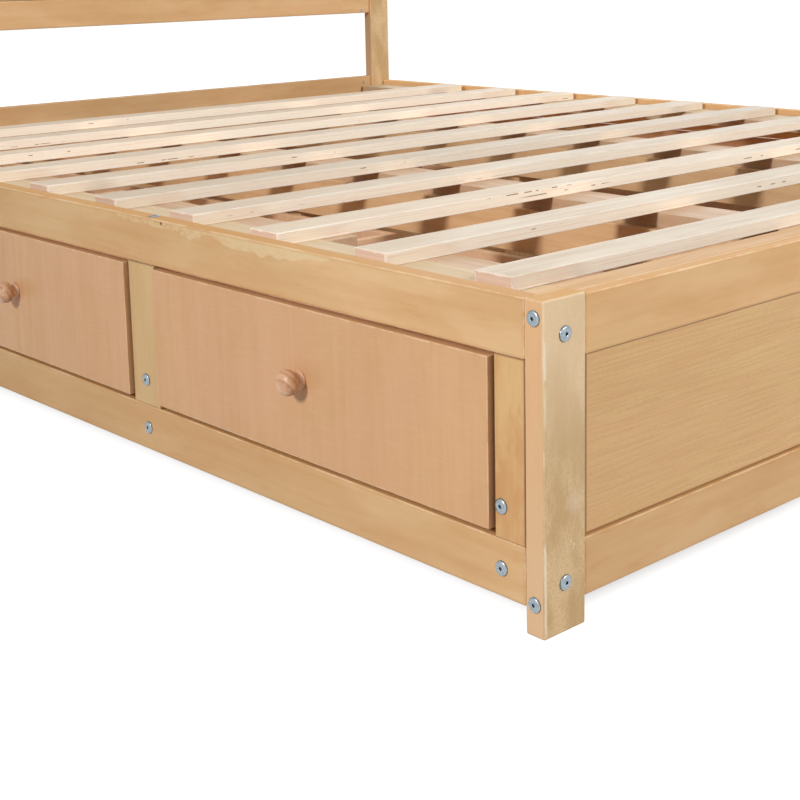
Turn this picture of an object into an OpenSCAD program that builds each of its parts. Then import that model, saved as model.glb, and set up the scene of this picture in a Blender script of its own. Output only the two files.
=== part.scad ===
// Platform bed with three storage drawers on each long side.
// Millimetres. +Z up, the foot end faces -Y, the origin is on the floor under the middle of the bed.

/* [Overall size] */
// Width over the long side rails
bed_width = 1600; // [1400:5:2000]
// Length over the foot posts and head posts
bed_length = 2060; // [1960:5:2200]
// Height of the foot posts, level with the side rails
deck_height = 338; // [330:1:380]
// Height of the head posts
headboard_height = 900; // [760:5:1100]

/* [Posts and rails] */
// Post size across the bed
post_width = 60; // [50:1:80]
// Post size along the bed
post_depth = 25; // [22:1:32]
// Height of every lengthwise and crosswise rail
rail_height = 61; // [55:1:66]
// Thickness of the long side rails and stiles
side_rail_thickness = 22; // [18:1:26]
// Thickness of the crosswise rails at the foot and head
end_rail_thickness = 16; // [14:1:20]
// Floor gap under the bottom rails
floor_gap = 28; // [20:1:34]
// Setback of the foot rails from the front of the posts
foot_setback = 1; // [0.5:0.5:4]
// Drop of the foot rail below the post tops
foot_rail_drop = 2; // [1:0.5:4]
// Rounding of the long edges of posts and rails
edge_radius = 2.5; // [1:0.5:4]
// Rounding of the long edges of slats and stiles
fine_radius = 1.5; // [0.5:0.5:2]

/* [Foot and head panels] */
// Thickness of the recessed panels
panel_thickness = 6; // [4:0.5:8]
// Depth of the groove that holds a panel
panel_groove = 6; // [4:0.5:8]
// Height of the head rail's top above the post height at the foot
head_rail_rise = 14; // [6:1:20]
// Height of the headboard's lower rail above the floor
headboard_rail_z = 515; // [470:1:560]
// Width of the two short posts inside the headboard
headboard_stile = 60; // [40:1:80]
// Distance from the side of the bed to the near edge of a headboard stile
headboard_bay = 574; // [480:1:620]

/* [Slats] */
// Number of slats
slat_count = 10; // [8:1:11]
// Slat width, along the bed
slat_width = 53; // [45:1:70]
// Slat thickness
slat_thickness = 16; // [12:1:20]
// Distance between slat centres
slat_pitch = 182; // [150:1:190]
// Distance from the foot face to the first slat
slat_start = 81; // [70:1:100]
// Gap between a slat's end and the side rail
slat_end_gap = 11; // [6:1:20]
// Drop of the slats' underside below the deck height
slat_seat_drop = 11; // [8:1:14]

/* [Slat supports] */
// Width of the ledge inside each side rail
ledge_width = 70; // [50:1:90]
// Thickness of the ledge
ledge_thickness = 22; // [16:1:28]
// Width of the packing boards beside the ledge
packer_width = 46; // [30:1:60]
// Thickness of the packing boards
packer_thickness = 18; // [12:1:22]
// Space between packing boards over the middle of each drawer
packer_gap = 128; // [80:1:200]
// Width of the cleat inside the foot rail, in front of the posts' inner faces
cleat_width = 25; // [18:1:28]
// Width of each lengthwise beam
beam_width = 77; // [50:1:90]
// Thickness of each beam
beam_thickness = 30; // [22:1:36]
// Drop of the beam's side rails below its top
beam_rail_drop = 20; // [12:1:24]
// Thickness of the rails on the sides of each beam
beam_rail_thickness = 15; // [12:1:20]
// Size of a beam leg along the bed
leg_depth = 40; // [30:1:60]
// Distance from the ends of the bed to the end legs
leg_inset = 200; // [120:5:300]

/* [Drawers] */
// Width of the narrow stile next to a post
end_stile = 41; // [30:1:60]
// Width of the stile between two drawers
mid_stile = 61; // [50:1:80]
// Gap around a drawer front at its sides and top
front_gap = 3; // [2:0.5:4]
// Gap below a drawer front
front_bottom_gap = 8; // [6:0.5:10]
// Thickness of a drawer front
front_thickness = 15; // [12:1:18]
// How far a shut drawer front stands out of the frame
front_proud = 6; // [4:0.5:10]
// Thickness of the drawer walls
wall_thickness = 12; // [9:1:15]
// Height of the drawer walls
wall_height = 141; // [100:1:150]
// Thickness of the drawer bottom
bottom_thickness = 5; // [3:0.5:8]
// Depth of the drawer from the frame's face to the back of its box
drawer_depth = 470; // [380:5:480]
// Free space between a drawer wall and the edge of its opening
wall_side_gap = 8; // [6:1:12]
// Height of the drawer bottom's underside above the underside of the walls
bottom_rise = 6; // [4:1:12]
// Height of the underside of the walls above the lower edge of the front
wall_lift = 7; // [5:1:12]

/* [Drawer supports] */
// Thickness of the boards that part the drawers
divider_thickness = 18; // [15:1:22]
// Height of those boards
divider_height = 110; // [90:1:130]
// Height of the boards' underside above the underside of the bottom rails
divider_lift = 12; // [8:1:20]
// Height of a runner strip
runner_height = 20; // [14:1:24]
// Running gap between runner and drawer
runner_gap = 0.3; // [0.2:0.1:1]
// Gap between the back of a shut drawer and the beam's rail
back_gap = 15; // [8:1:30]

/* [Knobs] */
// Diameter of the knob's head
knob_diameter = 32; // [26:1:40]
// Knob projection from the drawer front
knob_length = 28; // [22:1:36]
// Height of the knob above the middle of the drawer front
knob_rise = 5; // [0:1:20]
// Diameter of the knob's foot
knob_foot = 18; // [14:1:22]
// Diameter of the knob's waist
knob_waist = 13.5; // [10:0.5:18]

/* [Bolts] */
// Diameter of a bolt head
bolt_head = 16; // [12:0.5:18]
// Height of a bolt head
bolt_head_height = 2.5; // [1.5:0.5:4]
// Diameter of a bolt shank
bolt_shank = 6; // [5:0.5:8]
// Length of the bolts in the side rails and stiles
bolt_length = 34; // [28:1:45]
// Length of the bolts that pass through a post into the end of a crosswise rail
through_bolt_length = 90; // [75:1:110]
// Length of the bolts in a post's wide face
end_bolt_length = 20; // [12:1:22]
// Width across the flats of the hexagon socket
bolt_socket = 4; // [3:0.5:5]
// Diameter of the flat top of a bolt head
bolt_crown = 11.5; // [9:0.5:13]
// Free space around a bolt shank
bolt_clearance = 0.2; // [0.1:0.1:0.5]
// Distance of a through bolt above the underside of the low rails it holds
low_bolt_rise = 6; // [5.5:0.5:30]
// Distance of a through bolt below the top of the upper rails it holds
high_bolt_drop = 16; // [10:1:40]
// Height step between the bolts in a post's wide face and its through bolts
post_bolt_step = 18; // [14:1:22]
// Diameter of the barrel nuts that the through bolts screw into
barrel_nut = 8; // [7.5:0.5:9]
// Distance of a barrel nut from the end of its rail
barrel_nut_inset = 26; // [20:1:28]
// Wood left between a barrel nut and the outer face of its rail
nut_cover = 4; // [2:0.5:5]
// Distance of the upper stile bolt below the top of the divider it holds
stile_bolt_inset = 27; // [20:1:40]
// Distance of the bolts in the top face of a side rail from the middle of a stile
top_bolt_offset = 20; // [12:1:28]

/* [Hidden] */

LEFT = -1;
RIGHT = 1;
DRAWER_COUNT = 3;
$fn = 48;

half_width = bed_width / 2;
half_length = bed_length / 2;
rail_span = bed_width - 2 * post_width;
side_span = bed_length - 2 * post_depth;

// Heights
bottom_rail_top = floor_gap + rail_height;
side_rail_bottom = deck_height - rail_height;
foot_rail_bottom = deck_height - foot_rail_drop - rail_height;
head_rail_bottom = deck_height + head_rail_rise - rail_height;
headboard_top_rail_bottom = headboard_height - rail_height;
slat_seat = deck_height - slat_seat_drop;
beam_bottom = slat_seat - beam_thickness;
beam_rail_top = slat_seat - beam_rail_drop;

// Across the bed, measured from the centre line
side_rail_inner = half_width - side_rail_thickness;
ledge_inner = side_rail_inner - ledge_width;
packer_inner = ledge_inner - packer_width;
drawer_back = half_width - drawer_depth;
beam_rail_outer = drawer_back - back_gap;
beam_outer = beam_rail_outer - beam_rail_thickness;
beam_inner = beam_outer - beam_width;

// Along the bed
foot_rail_back = -half_length + foot_setback + end_rail_thickness;
foot_post_back = -half_length + post_depth;
head_rail_front = half_length - post_depth / 2 - end_rail_thickness / 2;
head_post_front = half_length - post_depth;
cleat_back = foot_post_back + cleat_width;
openings_span = side_span - 2 * end_stile - (DRAWER_COUNT - 1) * mid_stile;
opening_width = openings_span / DRAWER_COUNT;
opening_pitch = opening_width + mid_stile;
function opening_start(i) = -half_length + post_depth + end_stile + i * opening_pitch;
function opening_middle(i) = opening_start(i) + opening_width / 2;
function stile_middle(i) = opening_start(i) + opening_width + mid_stile / 2;
end_divider_middle = opening_start(0) - divider_thickness / 2;
divider_middles = [
    end_divider_middle,
    for (i = [0 : DRAWER_COUNT - 2]) stile_middle(i),
    -end_divider_middle
];
leg_middles = [-half_length + leg_inset, 0, half_length - leg_inset];
support_end = half_length - leg_inset + leg_depth / 2;

// Drawers
front_bottom = bottom_rail_top + front_bottom_gap;
front_height = side_rail_bottom - front_gap - front_bottom;
front_back_face = half_width + front_proud - front_thickness;
wall_bottom = front_bottom + wall_lift;
runner_top = wall_bottom - runner_gap;
runner_bottom = runner_top - runner_height;
box_width = opening_width - 2 * wall_side_gap;
bottom_groove = wall_thickness / 2;
knob_z = front_bottom + front_height / 2 + knob_rise;

// Dividers reach from just over the floor gap to above the runners
divider_bottom = floor_gap + divider_lift;
stile_bolt_z = divider_bottom + divider_height - stile_bolt_inset;
rail_bolt_z = floor_gap + rail_height / 2;

// Places of the bolts: side face [y, z], foot and head face [x, z]
foot_through_heights = [floor_gap + low_bolt_rise, deck_height - foot_rail_drop - high_bolt_drop];
head_through_heights = [
    floor_gap + low_bolt_rise, head_rail_bottom + rail_height - high_bolt_drop,
    headboard_rail_z + low_bolt_rise, headboard_height - high_bolt_drop
];
post_middle = half_length - post_depth / 2;
side_post_bolts = concat(
    [for (z = foot_through_heights) [-post_middle, z]],
    [for (z = head_through_heights) [post_middle, z]]
);
nut_x = rail_span / 2 - barrel_nut_inset;
side_stile_bolts = [for (y = divider_middles, z = [rail_bolt_z, stile_bolt_z]) [y, z]];
end_bolt_x = half_width - post_width / 2;
end_bolt_heights = [foot_through_heights[0] + post_bolt_step, foot_through_heights[1] - post_bolt_step];
end_bolts = [for (x = [-end_bolt_x, end_bolt_x], z = end_bolt_heights) [x, z]];
top_bolts = [for (i = [0 : DRAWER_COUNT - 2]) stile_middle(i) - top_bolt_offset * sign(1 - 2 * i)];

PINE = "#d9b27c";
LIGHT_PINE = "#ecd3a2";
SLAT = "#efe2cb";
LAMINATE = "#dcae84";
ZINC = "#c4ccd2";

// A rectangle with true arcs at its corners, centred on the origin
module rounded_rect(width, depth, radius = edge_radius) {
    square([width - 2 * radius, depth], center = true);
    square([width, depth - 2 * radius], center = true);
    for (x = [-1, 1], y = [-1, 1])
        translate([x * (width / 2 - radius), y * (depth / 2 - radius)]) circle(radius);
}

// A board whose long edges are rounded, between two corners; axis is the direction of its grain
module board(low, high, axis, radius = edge_radius) {
    size = high - low;
    middle = (low + high) / 2;
    translate(middle) {
        if (axis == "x")
            rotate([0, 90, 0]) linear_extrude(size.x, center = true) rounded_rect(size.z, size.y, radius);
        if (axis == "y")
            rotate([90, 0, 0]) linear_extrude(size.y, center = true) rounded_rect(size.x, size.z, radius);
        if (axis == "z")
            linear_extrude(size.z, center = true) rounded_rect(size.x, size.y, radius);
    }
}

// A plain block between two corners
module block(low, high) {
    translate(low) cube(high - low);
}

// Everything for a long side is drawn at +X, and mirrored for the left side
module on_side(side) {
    if (side == RIGHT) children();
    else mirror([1, 0, 0]) children();
}

// ---- Bolts ----

// One bolt: the head stands on the XY plane, the shank goes down from it
module bolt(length) {
    difference() {
        cylinder(h = bolt_head_height, d1 = bolt_head, d2 = bolt_crown);
        translate([0, 0, bolt_head_height / 3])
            cylinder(h = bolt_head_height, d = bolt_socket / cos(30), $fn = 6);
    }
    translate([0, 0, -length]) cylinder(h = length, d = bolt_shank);
}

module bolt_hole(length) {
    depth = length + bolt_clearance;
    translate([0, 0, -depth]) cylinder(h = depth + bolt_head_height, d = bolt_shank + 2 * bolt_clearance);
}

// Puts its children on bolt places in the outer face of a long side, head outwards
module at_side(places) {
    for (place = places)
        translate([half_width, place[0], place[1]]) rotate([0, 90, 0]) children();
}

module at_rail_top() {
    for (y = top_bolts)
        translate([half_width - side_rail_thickness / 2, y, deck_height]) children();
}

module at_foot() {
    for (place = end_bolts)
        translate([place[0], -half_length, place[1]]) rotate([90, 0, 0]) children();
}

module at_head() {
    for (place = end_bolts)
        translate([place[0], half_length, place[1]]) rotate([-90, 0, 0]) children();
}

// Goes into a crosswise rail from its inner face, where a through bolt ends
module nut_body(diameter) {
    depth = end_rail_thickness - nut_cover;
    for (z = foot_through_heights)
        translate([nut_x, foot_rail_back, z]) rotate([90, 0, 0]) cylinder(h = depth, d = diameter);
    for (z = head_through_heights)
        translate([nut_x, head_rail_front, z]) rotate([-90, 0, 0]) cylinder(h = depth, d = diameter);
}

module barrel_nuts() {
    color(ZINC) for (side = [LEFT, RIGHT]) on_side(side) difference() {
        nut_body(barrel_nut);
        at_side(side_post_bolts) bolt_hole(through_bolt_length);
    }
}

module all_bolt_holes() {
    for (side = [LEFT, RIGHT]) on_side(side) {
        nut_body(barrel_nut + 2 * bolt_clearance);
        at_side(side_post_bolts) bolt_hole(through_bolt_length);
        at_side(side_stile_bolts) bolt_hole(bolt_length);
        at_rail_top() bolt_hole(bolt_length);
    }
    at_foot() bolt_hole(end_bolt_length);
    at_head() bolt_hole(end_bolt_length);
}

module bolts() {
    color(ZINC) {
        for (side = [LEFT, RIGHT]) on_side(side) {
            at_side(side_post_bolts) bolt(through_bolt_length);
            at_side(side_stile_bolts) bolt(bolt_length);
            at_rail_top() bolt(bolt_length);
        }
        at_foot() bolt(end_bolt_length);
        at_head() bolt(end_bolt_length);
    }
}

// ---- Posts ----

module foot_post(side) {
    color(PINE) difference() {
        on_side(side)
            board(
                [half_width - post_width, -half_length, 0],
                [half_width, foot_post_back, deck_height], "z"
            );
        all_bolt_holes();
    }
}

module head_post(side) {
    color(PINE) difference() {
        on_side(side)
            board(
                [half_width - post_width, head_post_front, 0],
                [half_width, half_length, headboard_height], "z"
            );
        all_bolt_holes();
    }
}

// ---- Foot end ----

module foot_rail(bottom) {
    board(
        [-rail_span / 2, -half_length + foot_setback, bottom],
        [rail_span / 2, foot_rail_back, bottom + rail_height], "x"
    );
}

module foot_panel_solid() {
    front = -half_length + foot_setback + (end_rail_thickness - panel_thickness) / 2;
    block(
        [-rail_span / 2, front, bottom_rail_top - panel_groove],
        [rail_span / 2, front + panel_thickness, foot_rail_bottom + panel_groove]
    );
}

module foot_top_rail() {
    color(PINE) difference() {
        foot_rail(foot_rail_bottom);
        foot_panel_solid();
        all_bolt_holes();
    }
}

module foot_bottom_rail() {
    color(PINE) difference() {
        foot_rail(floor_gap);
        foot_panel_solid();
        all_bolt_holes();
    }
}

module foot_panel() {
    color(PINE) foot_panel_solid();
}

// The cleat backs the top rail and reaches behind both posts to the side rails
module foot_cleat() {
    top = deck_height - foot_rail_drop;
    bottom = top - ledge_thickness;
    color(LIGHT_PINE) union() {
        block([-rail_span / 2, foot_rail_back, bottom], [rail_span / 2, cleat_back, top]);
        block([-side_rail_inner, foot_post_back, bottom], [side_rail_inner, cleat_back, top]);
    }
}

// ---- Head end ----

module head_rail(bottom) {
    board(
        [-rail_span / 2, head_rail_front, bottom],
        [rail_span / 2, head_rail_front + end_rail_thickness, bottom + rail_height], "x"
    );
}

module head_panel_solid() {
    front = half_length - (post_depth + panel_thickness) / 2;
    block(
        [-rail_span / 2, front, bottom_rail_top - panel_groove],
        [rail_span / 2, front + panel_thickness, head_rail_bottom + panel_groove]
    );
}

module headboard_panel_solids() {
    front = half_length - (post_depth + panel_thickness) / 2;
    edges = [-rail_span / 2, -half_width + headboard_bay, half_width - headboard_bay, rail_span / 2];
    starts = [edges[0], edges[1] + headboard_stile - panel_groove, edges[2] - panel_groove];
    ends = [edges[1] + panel_groove, edges[2] - headboard_stile + panel_groove, edges[3]];
    for (i = [0 : 2])
        block(
            [starts[i], front, headboard_rail_z + rail_height - panel_groove],
            [ends[i], front + panel_thickness, headboard_top_rail_bottom + panel_groove]
        );
}

module head_platform_rail() {
    color(PINE) difference() {
        head_rail(head_rail_bottom);
        head_panel_solid();
        all_bolt_holes();
    }
}

module head_bottom_rail() {
    color(PINE) difference() {
        head_rail(floor_gap);
        head_panel_solid();
        all_bolt_holes();
    }
}

module headboard_lower_rail() {
    color(PINE) difference() {
        head_rail(headboard_rail_z);
        headboard_panel_solids();
        all_bolt_holes();
    }
}

module headboard_top_rail() {
    color(PINE) difference() {
        head_rail(headboard_top_rail_bottom);
        headboard_panel_solids();
        all_bolt_holes();
    }
}

module headboard_stiles() {
    outer = half_width - headboard_bay;
    color(PINE) difference() {
        for (side = [LEFT, RIGHT]) on_side(side)
            board(
                [outer - headboard_stile, head_rail_front, headboard_rail_z + rail_height],
                [outer, head_rail_front + end_rail_thickness, headboard_top_rail_bottom], "z"
            );
        headboard_panel_solids();
    }
}

// The head end's panel below the deck, and the three of the headboard
module headboard_panels() {
    color(PINE) {
        head_panel_solid();
        headboard_panel_solids();
    }
}

// ---- Long sides ----

module side_rail(side, bottom) {
    color(PINE) difference() {
        on_side(side)
            board(
                [side_rail_inner, foot_post_back, bottom],
                [half_width, head_post_front, bottom + rail_height], "y"
            );
        all_bolt_holes();
    }
}

module stiles(side) {
    inner_ends = [for (i = [0 : DRAWER_COUNT - 2]) opening_start(i) + opening_width];
    starts = concat([foot_post_back], inner_ends, [-opening_start(0)]);
    ends = concat([for (i = [0 : DRAWER_COUNT - 1]) opening_start(i)], [head_post_front]);
    color(PINE) difference() {
        on_side(side)
            for (i = [0 : DRAWER_COUNT])
                board(
                    [side_rail_inner, starts[i], bottom_rail_top],
                    [half_width, ends[i], side_rail_bottom], "z", fine_radius
                );
        all_bolt_holes();
    }
}

module ledge(side) {
    color(LIGHT_PINE) on_side(side)
        block(
            [ledge_inner, cleat_back, slat_seat - ledge_thickness],
            [side_rail_inner, head_post_front, slat_seat]
        );
}

module packers(side) {
    gaps = [for (i = [0 : DRAWER_COUNT - 1]) opening_middle(i)];
    starts = [cleat_back, for (y = gaps) y + packer_gap / 2];
    ends = [for (y = gaps) y - packer_gap / 2, support_end];
    color(LIGHT_PINE) on_side(side)
        for (i = [0 : DRAWER_COUNT])
            block([packer_inner, starts[i], slat_seat - packer_thickness], [ledge_inner, ends[i], slat_seat]);
}

module dividers(side) {
    color(PINE) difference() {
        on_side(side)
            for (y = divider_middles)
                block(
                    [beam_rail_outer, y - divider_thickness / 2, divider_bottom],
                    [side_rail_inner, y + divider_thickness / 2, divider_bottom + divider_height]
                );
        all_bolt_holes();
    }
}

// One strip on each side of every drawer, from the dividers to just under the drawer's walls
module runners(side) {
    strip_reach = wall_side_gap + wall_thickness;
    color(LIGHT_PINE) on_side(side)
        for (i = [0 : DRAWER_COUNT - 1]) {
            near = [divider_middles[i] + divider_thickness / 2, opening_start(i) + strip_reach];
            far = [
                opening_start(i) + opening_width - strip_reach,
                divider_middles[i + 1] - divider_thickness / 2
            ];
            for (y = [near, far])
                block([beam_rail_outer, y[0], runner_bottom], [side_rail_inner, y[1], runner_top]);
        }
}

// The beam ends over its last leg, and the rails on its sides go on to the head end
module beam(side) {
    color(LIGHT_PINE) on_side(side)
        block([beam_inner, cleat_back, beam_bottom], [beam_outer, support_end, slat_seat]);
}

// Rails on both sides of a beam, and a low rail that carries the inner ends of the dividers
module beam_rails(side) {
    outer = [beam_outer, beam_rail_outer];
    inner = [beam_inner - beam_rail_thickness, beam_inner];
    color(PINE) on_side(side) {
        for (x = [outer, inner])
            block([x[0], cleat_back, beam_rail_top - rail_height], [x[1], head_post_front, beam_rail_top]);
        block([outer[0], cleat_back, floor_gap], [outer[1], head_post_front, bottom_rail_top]);
    }
}

module beam_legs() {
    color(PINE)
        for (side = [LEFT, RIGHT]) on_side(side)
            for (y = leg_middles)
                block([beam_inner, y - leg_depth / 2, 0], [beam_outer, y + leg_depth / 2, beam_bottom]);
}

module slats() {
    reach = side_rail_inner - slat_end_gap;
    color(SLAT)
        for (i = [0 : slat_count - 1]) {
            y = -half_length + slat_start + i * slat_pitch;
            board(
                [-reach, y, slat_seat],
                [reach, y + slat_width, slat_seat + slat_thickness], "x", fine_radius
            );
        }
}

// ---- Drawers, numbered from the foot ----

module drawer_front(side, number) {
    start = opening_start(number - 1) + front_gap;
    color(LAMINATE) on_side(side)
        block(
            [front_back_face, start, front_bottom],
            [half_width + front_proud, start + opening_width - 2 * front_gap, front_bottom + front_height]
        );
}

module drawer_bottom_solid(number) {
    middle = opening_middle(number - 1);
    reach = box_width / 2 - wall_thickness + bottom_groove;
    low = wall_bottom + bottom_rise;
    block(
        [drawer_back + wall_thickness - bottom_groove, middle - reach, low],
        [front_back_face, middle + reach, low + bottom_thickness]
    );
}

// Two side walls and the back, each a board of its own, with a groove for the bottom
module drawer_walls(side, number) {
    middle = opening_middle(number - 1);
    reach = box_width / 2;
    inner_reach = reach - wall_thickness;
    wall_top = wall_bottom + wall_height;
    color(LAMINATE) on_side(side) difference() {
        union() {
            for (y = [[-reach, -inner_reach], [inner_reach, reach]])
                block(
                    [drawer_back, middle + y[0], wall_bottom],
                    [front_back_face, middle + y[1], wall_top]
                );
            block(
                [drawer_back, middle - inner_reach, wall_bottom],
                [drawer_back + wall_thickness, middle + inner_reach, wall_top]
            );
        }
        drawer_bottom_solid(number);
    }
}

module drawer_bottom(side, number) {
    color(LAMINATE) on_side(side) drawer_bottom_solid(number);
}

// A turned mushroom knob: foot, waist and domed head
module drawer_knob(side, number) {
    head = knob_diameter / 2;
    rim = knob_length * 0.64;
    color(PINE) on_side(side)
        translate([half_width + front_proud, opening_middle(number - 1), knob_z]) rotate([0, 90, 0])
            rotate_extrude() polygon([
                [0, 0], [knob_foot / 2, 0], [knob_foot / 2, rim * 0.12],
                [knob_waist / 2, rim * 0.3], [knob_waist / 2, rim * 0.6],
                [head * 0.86, rim * 0.78], [head, rim],
                for (a = [20 : 17.5 : 90]) [head * cos(a), rim + (knob_length - rim) * sin(a)]
            ]);
}

foot_post(LEFT);  // foot_post_left
foot_post(RIGHT);  // foot_post_right
head_post(LEFT);  // head_post_left
head_post(RIGHT);  // head_post_right
foot_top_rail();
foot_bottom_rail();
foot_panel();
foot_cleat();
head_platform_rail();
head_bottom_rail();
headboard_lower_rail();
headboard_top_rail();
headboard_stiles();
headboard_panels();
side_rail(LEFT, side_rail_bottom);  // left_top_rail
side_rail(LEFT, floor_gap);  // left_bottom_rail
stiles(LEFT);  // left_stiles
ledge(LEFT);  // left_ledge
packers(LEFT);  // left_packers
dividers(LEFT);  // left_dividers
runners(LEFT);  // left_runners
beam(LEFT);  // left_beam
beam_rails(LEFT);  // left_beam_rails
side_rail(RIGHT, side_rail_bottom);  // right_top_rail
side_rail(RIGHT, floor_gap);  // right_bottom_rail
stiles(RIGHT);  // right_stiles
ledge(RIGHT);  // right_ledge
packers(RIGHT);  // right_packers
dividers(RIGHT);  // right_dividers
runners(RIGHT);  // right_runners
beam(RIGHT);  // right_beam
beam_rails(RIGHT);  // right_beam_rails
beam_legs();
slats();
bolts();
barrel_nuts();
drawer_front(LEFT, 1);  // left_drawer_1_front
drawer_walls(LEFT, 1);  // left_drawer_1_walls
drawer_bottom(LEFT, 1);  // left_drawer_1_bottom
drawer_knob(LEFT, 1);  // left_drawer_1_knob
drawer_front(LEFT, 2);  // left_drawer_2_front
drawer_walls(LEFT, 2);  // left_drawer_2_walls
drawer_bottom(LEFT, 2);  // left_drawer_2_bottom
drawer_knob(LEFT, 2);  // left_drawer_2_knob
drawer_front(LEFT, 3);  // left_drawer_3_front
drawer_walls(LEFT, 3);  // left_drawer_3_walls
drawer_bottom(LEFT, 3);  // left_drawer_3_bottom
drawer_knob(LEFT, 3);  // left_drawer_3_knob
drawer_front(RIGHT, 1);  // right_drawer_1_front
drawer_walls(RIGHT, 1);  // right_drawer_1_walls
drawer_bottom(RIGHT, 1);  // right_drawer_1_bottom
drawer_knob(RIGHT, 1);  // right_drawer_1_knob
drawer_front(RIGHT, 2);  // right_drawer_2_front
drawer_walls(RIGHT, 2);  // right_drawer_2_walls
drawer_bottom(RIGHT, 2);  // right_drawer_2_bottom
drawer_knob(RIGHT, 2);  // right_drawer_2_knob
drawer_front(RIGHT, 3);  // right_drawer_3_front
drawer_walls(RIGHT, 3);  // right_drawer_3_walls
drawer_bottom(RIGHT, 3);  // right_drawer_3_bottom
drawer_knob(RIGHT, 3);  // right_drawer_3_knob
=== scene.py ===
"""Dresses a platform bed with storage drawers: its boards, slats, fittings and finishes."""

import math
import random

import bmesh
import bpy
import numpy as np
from mathutils import Matrix, Vector


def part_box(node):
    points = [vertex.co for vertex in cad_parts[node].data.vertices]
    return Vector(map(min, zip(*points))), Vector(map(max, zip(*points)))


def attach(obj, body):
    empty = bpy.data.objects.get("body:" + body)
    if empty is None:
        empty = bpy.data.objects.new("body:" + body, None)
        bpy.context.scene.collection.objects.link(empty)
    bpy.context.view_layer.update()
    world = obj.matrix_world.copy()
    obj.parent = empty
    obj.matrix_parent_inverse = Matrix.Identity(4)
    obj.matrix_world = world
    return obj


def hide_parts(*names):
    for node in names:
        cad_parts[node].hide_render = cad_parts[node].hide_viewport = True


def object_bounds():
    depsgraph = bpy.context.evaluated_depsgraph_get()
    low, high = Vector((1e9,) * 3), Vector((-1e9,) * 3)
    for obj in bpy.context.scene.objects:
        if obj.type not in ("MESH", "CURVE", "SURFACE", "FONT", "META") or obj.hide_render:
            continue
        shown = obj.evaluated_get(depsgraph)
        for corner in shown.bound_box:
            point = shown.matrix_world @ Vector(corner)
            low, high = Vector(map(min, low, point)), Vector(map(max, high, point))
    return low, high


bl_info = {
    "name": "Platform Bed Dresser",
    "version": (1, 0, 0),
    "blender": (4, 5, 0),
    "location": "View3D > Sidebar > Bed",
    "description": "Boards, slats, drawers, fittings and finishes of a storage bed",
    "category": "Object",
}

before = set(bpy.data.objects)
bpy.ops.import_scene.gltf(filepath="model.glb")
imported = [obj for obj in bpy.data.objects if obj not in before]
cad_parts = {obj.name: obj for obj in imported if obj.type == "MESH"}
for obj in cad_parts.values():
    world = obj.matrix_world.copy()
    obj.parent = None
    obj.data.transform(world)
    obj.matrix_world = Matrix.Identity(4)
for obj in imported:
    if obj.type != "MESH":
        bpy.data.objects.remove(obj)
CAD_LOW, CAD_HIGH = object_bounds()
MM = 0.001
SIDES = ("left", "right")
DRAWERS = (1, 2, 3)


def tone(*display):
    """A colour given as red, green and blue from 0 to 255, as the linear values that a socket takes."""
    shares = [value / 255 for value in display]
    return tuple(((share + 0.055) / 1.055) ** 2.4 if share > 0.04 else share / 12.92 for share in shares)


# --- Settings ---------------------------------------------


def colour_property(name, description, shade):
    return bpy.props.FloatVectorProperty(
        name=name, description=description, subtype="COLOR", size=3, min=0, max=1, default=tone(*shade)
    )


def length_property(name, description, default):
    return bpy.props.FloatProperty(name=name, description=description, unit="LENGTH", default=default, min=0)


def angle_property(name, description, degrees):
    turn = math.radians(degrees)
    return bpy.props.FloatProperty(name=name, description=description, subtype="ANGLE", default=turn)


def level_property(name, description, default):
    return bpy.props.FloatProperty(name=name, description=description, min=0, default=default)


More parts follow.
